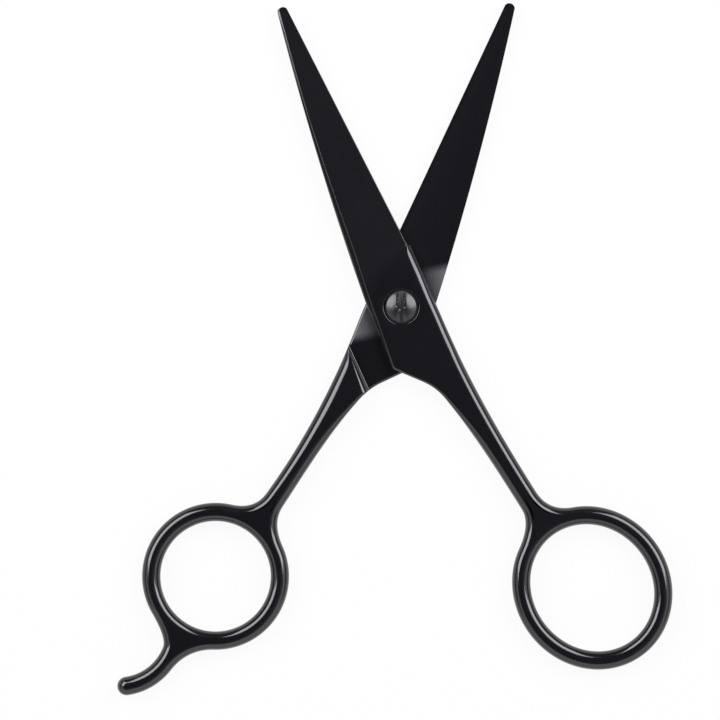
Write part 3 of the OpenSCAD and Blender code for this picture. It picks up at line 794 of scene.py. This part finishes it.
# Painted reflection: the band's grey rises from a tenth near the pivot to full away from it
reflection_rise = ranged(tree, worked(tree, "ABSOLUTE", band["X"]), reflection_rise_start, reflection_rise_full, reflection_rise_least)
off_middle = worked(tree, "ABSOLUTE", worked(tree, "SUBTRACT", band["Y"], ride_middle))
inside = ranged(tree, off_middle, ride_reach + ride_soft, ride_reach - ride_soft, fade="SMOOTHSTEP")
ground = place(tree, "Attribute", {}, attribute_name="inner_face").outputs["Fac"]
rub_and_reflection = worked(tree, "MULTIPLY", worked(tree, "MULTIPLY", reflection_rise, inside), ground)
colour = toned(tree, rub_and_reflection, coat["Color"], rub_and_reflection_grey)
gloss = worked(tree, "ADD", wear, ranged(tree, rub_and_reflection, 0.0, 1.0, coat_gloss, ride_gloss))
dress(tree, colour, gloss, coat["Height"], coat_peel)["IOR"].default_value = coat_ior

finger_half.data.materials.append(black_coating)
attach(finger_half, "finger_half")
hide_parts("finger_half")

# Thumb half: the matching forging with an oval thumb ring, coated the same. It lies on top, inner face down,
# and turns on the screw's shoulder in a bore with a recess for the head.
thumb_root_lean = 17.5
thumb_wall = 7.05 * mm
thumb_shank_edge = 1.85 * mm
thumb_neck = np.array([9.4 * mm, -neck_drop])
thumb_neck_width = 4.5 * mm
thumb_neck_lean = 10.4
thumb_centre = np.array([15.1 * mm, -69.0 * mm])
thumb_hole_length = 27.3 * mm
thumb_hole_width = 24.7 * mm
thumb_hole_turn = 15.8
thumb_bar = 3.85 * mm
thumb_outer_blend = -24
thumb_inner_blend = 28
thumb_far = -178
thumb_near = 8
recess_radius = 3.65 * mm
recess_depth = 1.1 * mm
recess_floor = half_height - recess_depth
recess_lip = 0.18 * mm
recess_lip_rows = 7
recess_opening = 4.3 * mm
shoulder_hole_radius = 2.25 * mm

thumb_turn = thumb_hole_turn - 90
thumb_hole = (thumb_centre, thumb_hole_length / 2, thumb_hole_width / 2, thumb_turn)
thumb_ring = (thumb_centre, thumb_hole[1] + thumb_bar, thumb_hole[2] + thumb_bar, thumb_turn)
thumb_side = thumb_neck_width / 2 * heading(thumb_neck_lean)
thumb_way = np.degrees(np.arctan2(*(thumb_neck - thumb_centre)[::-1]))
outer_marks = [thumb_way - thumb_near, thumb_way + thumb_outer_blend, thumb_way + thumb_far]
inner_marks = [thumb_way + thumb_near, thumb_way + thumb_inner_blend, thumb_way + thumb_far + 360]
outer_rail = rail_of([
    *outer_stretches(thumb_wall, thumb_neck + thumb_side, thumb_neck_lean),
    neck_blend(thumb_neck + thumb_side, thumb_neck_lean, outer_lag, thumb_ring, outer_marks[1], -1),
    round_run(thumb_ring, *outer_marks[1:]),
])
inner_rail = rail_of([
    *inner_stretches(thumb_root_lean, thumb_neck - thumb_side, thumb_neck_lean),
    neck_blend(thumb_neck - thumb_side, thumb_neck_lean, inner_lag, thumb_ring, inner_marks[1], 1),
    round_run(thumb_ring, *inner_marks[1:]),
])
lip_turn = np.linspace(0, np.pi / 2, recess_lip_rows)
recess_bore = [
    *np.stack([
        recess_radius + recess_lip * (1 - np.sin(lip_turn)),
        half_height - recess_lip * (1 - np.cos(lip_turn))], axis=1),
    [recess_radius, recess_floor + recess_lip / 2],
    [recess_radius - recess_lip / 2, recess_floor],
    [shoulder_hole_radius, recess_floor],
    [shoulder_hole_radius, inner_face],
]
bar_counts = [blend_rows, ring_rows]
thumb_sheets = half_sheets(
    outer_rail, inner_rail, thumb_shank_edge, bar_counts, thumb_hole,
    spaced(outer_marks, bar_counts), spaced(inner_marks, bar_counts), recess_opening, recess_bore)
thumb_half = closed_piece("thumb_half_coated", turned(thumb_sheets, open_angle / 2), forged_angle)
mark_inner_face(thumb_half, inner_face - ground_margin, inner_face + hollow_depth + ground_margin)
thumb_half.data.materials.append(black_coating)
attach(thumb_half, "thumb_half")
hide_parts("thumb_half")

# Tension washer: a thin ring of black plastic under the screw's head that keeps the pull of the screw even.
# It lies loose in the recess of the thumb half, round the shoulder.
washer_thickness = 0.3 * mm
washer_clearance = 0.03 * mm
washer_gap = 0.1 * mm
washer_edge = 0.06 * mm
washer_edge_rows = 5
washer_columns = 96


def lathed(profile, columns):
    """A profile of [radius, height] points carried round the pivot axis, closed where it comes back."""
    radius, height = np.array(profile).T[:, :, None]
    angle = np.linspace(0, 2 * np.pi, columns + 1)[None]
    return np.stack([radius * np.cos(angle), radius * np.sin(angle), height + 0 * angle], axis=2)


washer_low = recess_floor + washer_clearance
washer_high = washer_low + washer_thickness
washer_outer = recess_radius - washer_gap
corner_turn = np.linspace(0, np.pi / 2, washer_edge_rows)
washer_corner = washer_edge * np.stack([np.sin(corner_turn), np.cos(corner_turn)], axis=1)
washer_profile = np.concatenate([
    [washer_outer - washer_edge, washer_high - washer_edge] + washer_corner,
    [washer_outer - washer_edge, washer_low + washer_edge] + washer_corner[::-1] * [1, -1],
    [shoulder_hole_radius + washer_edge, washer_low + washer_edge] - washer_corner,
    [shoulder_hole_radius + washer_edge, washer_high - washer_edge] + washer_corner[::-1] * [-1, 1],
])
washer_profile = np.concatenate([washer_profile, washer_profile[:1]])
washer = closed_piece("tension_washer_ring", [(lathed(washer_profile, washer_columns), None)], forged_angle)
washer_dark = (0.008, 0.008, 0.0085, 1)
washer_light = (0.014, 0.014, 0.0145, 1)
washer_grain = 2600.0
washer_peel = 0.3
washer_gloss = 0.42
washer_plastic, tree, spot, coat, wear = finish_of(
    "washer_plastic", washer_grain, washer_dark, washer_light, scratches=0.1, smudges=0.12)
dress(tree, coat["Color"], worked(tree, "ADD", wear, washer_gloss), coat["Height"], washer_peel)
washer.data.materials.append(washer_plastic)
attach(washer, "pivot_screw")
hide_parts("tension_washer")

# Pivot screw: a turned steel screw with a low slotted dome, a smooth shoulder that the thumb half turns on
# and a fine thread in the finger half, coated black like the halves.
head_radius = 3.15 * mm
head_rim = 0.8 * mm
head_dome = 0.85 * mm
rim_round = 0.12 * mm
slot_width = 1.3 * mm
slot_mouth = 2.2 * mm
slot_depth = 0.8 * mm
shoulder_radius = 2.2 * mm
shoulder_clearance = 0.03 * mm
shoulder_foot = blade_thickness + shoulder_clearance
thread_radius = 1.75 * mm
thread_pitch = 0.5 * mm
thread_depth = 0.26 * mm
screw_end = 0.3 * mm
end_chamfer = 0.3 * mm
edge_chamfer = 0.1 * mm
turned_angle = 30
slot_wall_columns = 5
slot_bed_columns = 13
cap_columns = 37
dome_rows = 81
rim_rows = 7
thread_rows = 57
head_seat = washer_high + washer_clearance
dome_foot = head_seat + head_rim
slot_floor = dome_foot + head_dome - slot_depth
rim_lean = np.arctan(2 * head_dome / head_radius)
dome_radius = head_radius - rim_round * (1 - np.sin(rim_lean))
across_slot = np.concatenate([
    np.linspace(slot_mouth, slot_width, slot_wall_columns),
    np.linspace(slot_width, -slot_width, slot_bed_columns)[1:-1],
    np.linspace(-slot_width, -slot_mouth, slot_wall_columns)]) / 2
slot_turn = np.arccos(across_slot / dome_radius)
cap_turn = np.linspace(0, slot_turn[0], cap_columns)


def dome_over(turn):
    """Points of the head's dome, a paraboloid over the rim. Columns start at the rim's angles and run
    straight across the head to the far rim."""
    run = np.linspace(-1, 1, dome_rows)
    x = dome_radius * np.cos(turn)[:, None] + 0 * run
    y = dome_radius * np.sin(turn)[:, None] * run
    return np.stack([x, y, dome_foot + head_dome * (1 - (x**2 + y**2) / dome_radius**2)], axis=2)


right_cap = dome_over(cap_turn)
slot_bed = dome_over(slot_turn)
wall_drop_at = slot_depth * (slot_mouth / 2 - np.abs(across_slot)) / (slot_mouth / 2 - slot_width / 2)
cut_away = np.maximum(slot_bed[..., 2] - wall_drop_at[:, None], slot_floor)
slot_bed[..., 2] = np.minimum(slot_bed[..., 2], cut_away)
half_turn = np.concatenate([-cap_turn[:0:-1], cap_turn[:-1], slot_turn[:-1]])
rim_angles = np.concatenate([half_turn, half_turn + np.pi, half_turn[:1] + 2 * np.pi])[None]
thread_low = screw_end + end_chamfer
thread_high = shoulder_foot - thread_pitch / 2
thread_z = np.linspace(thread_low, thread_high, thread_rows)[:, None]
ridge = np.abs(np.mod(thread_z / thread_pitch - rim_angles / (2 * np.pi), 1) * 2 - 1)
fade = np.clip(np.minimum(thread_z - thread_low, thread_high - thread_z) / thread_pitch, 0, 1)
thread_r = thread_radius - thread_depth * (1 - ridge * fade)
rim_turn = np.linspace(rim_lean, np.pi / 2, rim_rows)
shank_profile = np.concatenate([
    np.stack([
        head_radius - rim_round * (1 - np.sin(rim_turn)),
        dome_foot - rim_round * (np.cos(rim_lean) - np.cos(rim_turn))], axis=1),
    [[head_radius, head_seat + edge_chamfer],
     [head_radius - edge_chamfer, head_seat],
     [shoulder_radius, head_seat],
     [shoulder_radius, shoulder_foot + edge_chamfer],
     [shoulder_radius - edge_chamfer, shoulder_foot],
     [thread_radius - thread_depth, shoulder_foot]],
])
end_profile = np.array([
    [thread_radius - thread_depth - end_chamfer / 2, screw_end],
    [0, screw_end],
])
all_round = 0 * rim_angles
screw_r = np.concatenate([shank_profile[:, :1] + all_round, thread_r[::-1], end_profile[:, :1] + all_round])
screw_z = np.concatenate([shank_profile[:, 1:], thread_z[::-1], end_profile[:, 1:]]) + all_round
screw_shank = np.stack([screw_r * np.cos(rim_angles), screw_r * np.sin(rim_angles), screw_z], axis=2)
screw = closed_piece(
    "pivot_screw_turned",
    [(right_cap, None), (right_cap * [-1, 1, 1], None), (slot_bed, None), (screw_shank, None)], turned_angle)

# Coating of the screw: sawn through in the slot, which has saw streaks, a painted reflection lightening it
# towards the top, a lighter lower end and three painted glints
screw_grain = 1400.0
screw_gloss = 0.27
sawn_gloss = 0.3
sawn_dark = (0.0045, 0.0045, 0.005, 1)
# Light grey of the slot bed: a painted reflection
slot_reflection_grey = (0.032, 0.032, 0.034, 1)
sawn_soft = 0.08 * mm
saw_scale = (4200, 300, 0)
saw_start = 0.38
saw_full = 0.62
slot_reflection_from = -0.6 * mm
slot_reflection_to = 2.0 * mm
low_end_from = -0.9 * mm
low_end_to = -2.0 * mm
low_end_inner = 0.15 * mm
low_end_outer = 0.55 * mm
low_end_share = 0.7
# Painted glints: small steel-grey spots on the head
painted_glint_grey = (0.14, 0.14, 0.15, 1)
glint_size = 0.27 * mm
glint_places = ((-1.02 * mm, 0.04 * mm), (0.69 * mm, -0.21 * mm), (-0.37 * mm, -0.62 * mm))
screw_coating, tree, spot, coat, wear = finish_of(
    "screw_coating", screw_grain, coat_dark, coat_light, scratches=0.08, smudges=0.05)
head = place(tree, "SeparateXYZ", {"Vector": spot}).outputs
off_middle = worked(tree, "ABSOLUTE", head["X"])
sawn = ranged(tree, off_middle, slot_mouth / 2, slot_mouth / 2 - sawn_soft)
bed = ranged(tree, off_middle, slot_width / 2, slot_width / 2 - sawn_soft)
# Painted reflection: the slot bed grows lighter towards the top of the head, with saw streaks in it
reflection_rise = worked(tree, "MULTIPLY", ranged(tree, head["Y"], slot_reflection_from, slot_reflection_to), bed)
streaks_and_reflection = place(tree, "Mapping", {"Vector": spot, "Scale": saw_scale})
streaks_and_reflection = clouded(tree, streaks_and_reflection.outputs["Vector"], scale=1.0, detail=2.0)
streaks_and_reflection = worked(tree, "MULTIPLY", ranged(tree, streaks_and_reflection, saw_start, saw_full), reflection_rise)
# The slot's lower end is lightened off its middle, to the same grey
low_end_lightening = ranged(tree, off_middle, low_end_inner, low_end_outer)
low_end_lightening = worked(tree, "MULTIPLY", ranged(tree, head["Y"], low_end_from, low_end_to), low_end_lightening)
streaks_and_reflection = worked(tree, "MULTIPLY_ADD", low_end_lightening, low_end_share, streaks_and_reflection)
colour = toned(tree, sawn, coat["Color"], toned(tree, streaks_and_reflection, sawn_dark, slot_reflection_grey))
plan = place(tree, "VectorMath", {0: spot, 1: (1, 1, 0)}, operation="MULTIPLY").outputs[0]
# Three painted glints, each fading out over its size
for glint_place in glint_places:
    away = place(tree, "VectorMath", {0: plan, 1: (*glint_place, 0)}, operation="DISTANCE").outputs["Value"]
    colour = toned(tree, ranged(tree, away, glint_size, 0.0), colour, painted_glint_grey)
gloss = worked(tree, "ADD", wear, ranged(tree, sawn, 0.0, 1.0, screw_gloss, sawn_gloss))
dress(tree, colour, gloss, coat["Height"], coat_peel)["IOR"].default_value = coat_ior
screw.data.materials.append(screw_coating)
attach(screw, "pivot_screw")
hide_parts("pivot_screw")

# Studio: a white table in a light surround with a dark ceiling, and two soft lamps up on the left and right.
# The table shows white to the lens and in reflections, and keeps a faint shadow.
floor_size = 6.0
floor_drop = 0.05 * mm
floor_white = (0.45, 0.45, 0.45, 1)
white = (1, 1, 1, 1)
floor_glow = 0.93
floor_mesh = bpy.data.meshes.new("table")
corners = floor_size / 2 * np.array([[-1, -1, 0], [1, -1, 0], [1, 1, 0], [-1, 1, 0]]) - [0, 0, floor_drop]
floor_mesh.from_pydata(corners, [], [[0, 1, 2, 3]])
table = shown("table", floor_mesh)
table_white = bpy.data.materials.new("table_white")
table_white.use_nodes = True
tree = table_white.node_tree
tree.nodes.clear()
path = place(tree, "LightPath", {}).outputs
seen = worked(tree, "MAXIMUM", path["Is Camera Ray"], path["Is Glossy Ray"])
seen = worked(tree, "MAXIMUM", seen, path["Is Transmission Ray"])
seen = worked(tree, "MULTIPLY", seen, floor_glow)
matt = place(tree, "BsdfDiffuse", {"Color": floor_white})
glow = place(tree, "Emission", {"Color": white, "Strength": 1.0})
cover = place(tree, "MixShader", {0: seen, 1: matt.outputs[0], 2: glow.outputs[0]})
place(tree, "OutputMaterial", {"Surface": cover.outputs[0]})
floor_mesh.materials.append(table_white)

# Surround: bright near the handles and above a dark band, dark past the tips and overhead, with some spill
studio_tint = (0.98, 0.97, 1.04)
surround_top = 0.57
ceiling_start = 0.82
ceiling_level = 0.02
spill = 0.7
surround_white = 1.5
surround_dark = 0.12
near_start = -0.3
near_end = -0.5
far_start = 0.6
far_end = 0.2
dark_top = 0.34
dark_fade = 0.16
studio = bpy.data.worlds.new("studio")
bpy.context.scene.world = studio
studio.use_nodes = True
tree = studio.node_tree
tree.nodes.clear()
direction = place(tree, "TexCoord", {}).outputs["Generated"]
direction = place(tree, "SeparateXYZ", {"Vector": direction}).outputs
near = ranged(tree, direction["Y"], near_start, near_end, fade="SMOOTHSTEP")
short_of_far = ranged(tree, direction["Y"], far_start, far_end, fade="SMOOTHSTEP")
over = ranged(tree, direction["Z"], dark_top - dark_fade, dark_top, fade="SMOOTHSTEP")
bright = worked(tree, "MAXIMUM", near, worked(tree, "MULTIPLY", over, short_of_far))
sides = ranged(tree, bright, 0.0, 1.0, surround_dark, surround_white)
ceiling = ranged(tree, direction["Z"], surround_top, ceiling_start, 1.0, ceiling_level, fade="SMOOTHSTEP")
right = worked(tree, "MAXIMUM", worked(tree, "MULTIPLY", direction["X"], direction["Z"]), 0.0)
level = worked(tree, "MULTIPLY_ADD", right, spill, worked(tree, "MULTIPLY", sides, ceiling))
to_lens = place(tree, "LightPath", {}).outputs["Is Camera Ray"]
level = worked(tree, "MAXIMUM", level, to_lens)
shade = toned(tree, to_lens, (*studio_tint, 1), white)
backdrop = place(tree, "Background", {"Color": shade, "Strength": level})
place(tree, "OutputWorld", {"Surface": backdrop.outputs[0]})

# Lamps: two soft boxes that point at the pivot
lamp_distance = 0.7
lamp_height = 44
lamp_long = 0.64
lamp_short = 0.455
lamp_level = 8.4
for name, bearing in (("left_lamp", 146), ("right_lamp", 34)):
    lamp_data = bpy.data.lights.new(name, "AREA")
    lamp_data.shape = "RECTANGLE"
    lamp_data.color = studio_tint
    lamp_data.size = lamp_long
    lamp_data.size_y = lamp_short
    lamp_data.energy = lamp_level * np.pi * lamp_long * lamp_short
    lamp = shown(name, lamp_data)
    reach = lamp_distance * np.cos(np.radians(lamp_height))
    lamp.location = (*(reach * heading(bearing)), lamp_distance * np.sin(np.radians(lamp_height)))
    lamp.rotation_euler = (np.radians(90 - lamp_height), 0, np.radians(bearing + 90))

# Camera: straight above the shears with a long lens, turned a little, with the pivot right of the middle.
# Its scale and place come from the size of a pixel and from where the pivot is in the picture.
pixel = 0.20791 * mm
image_pixels = 720
pivot_pixel = np.array([401.2, 306.9])
image_turn = 0.98
camera_height = 1.6
camera_far = 20.0
sensor = 36.0
lens_plane = half_height / 2
middle = (image_pixels / 2 - pivot_pixel) * [1, -1] * pixel
image_right, image_up = heading(-image_turn), heading(90 - image_turn)
camera_data = bpy.data.cameras.new("camera")
camera_data.sensor_width = sensor
camera_data.lens = sensor * (camera_height - lens_plane) / (image_pixels * pixel)
camera_data.clip_end = camera_far
camera = shown("camera", camera_data)
camera.location = (*(middle[0] * image_right + middle[1] * image_up), camera_height)
camera.rotation_euler = (0, 0, np.radians(-image_turn))
bpy.context.scene.camera = camera
bpy.context.scene.view_settings.view_transform = "Standard"
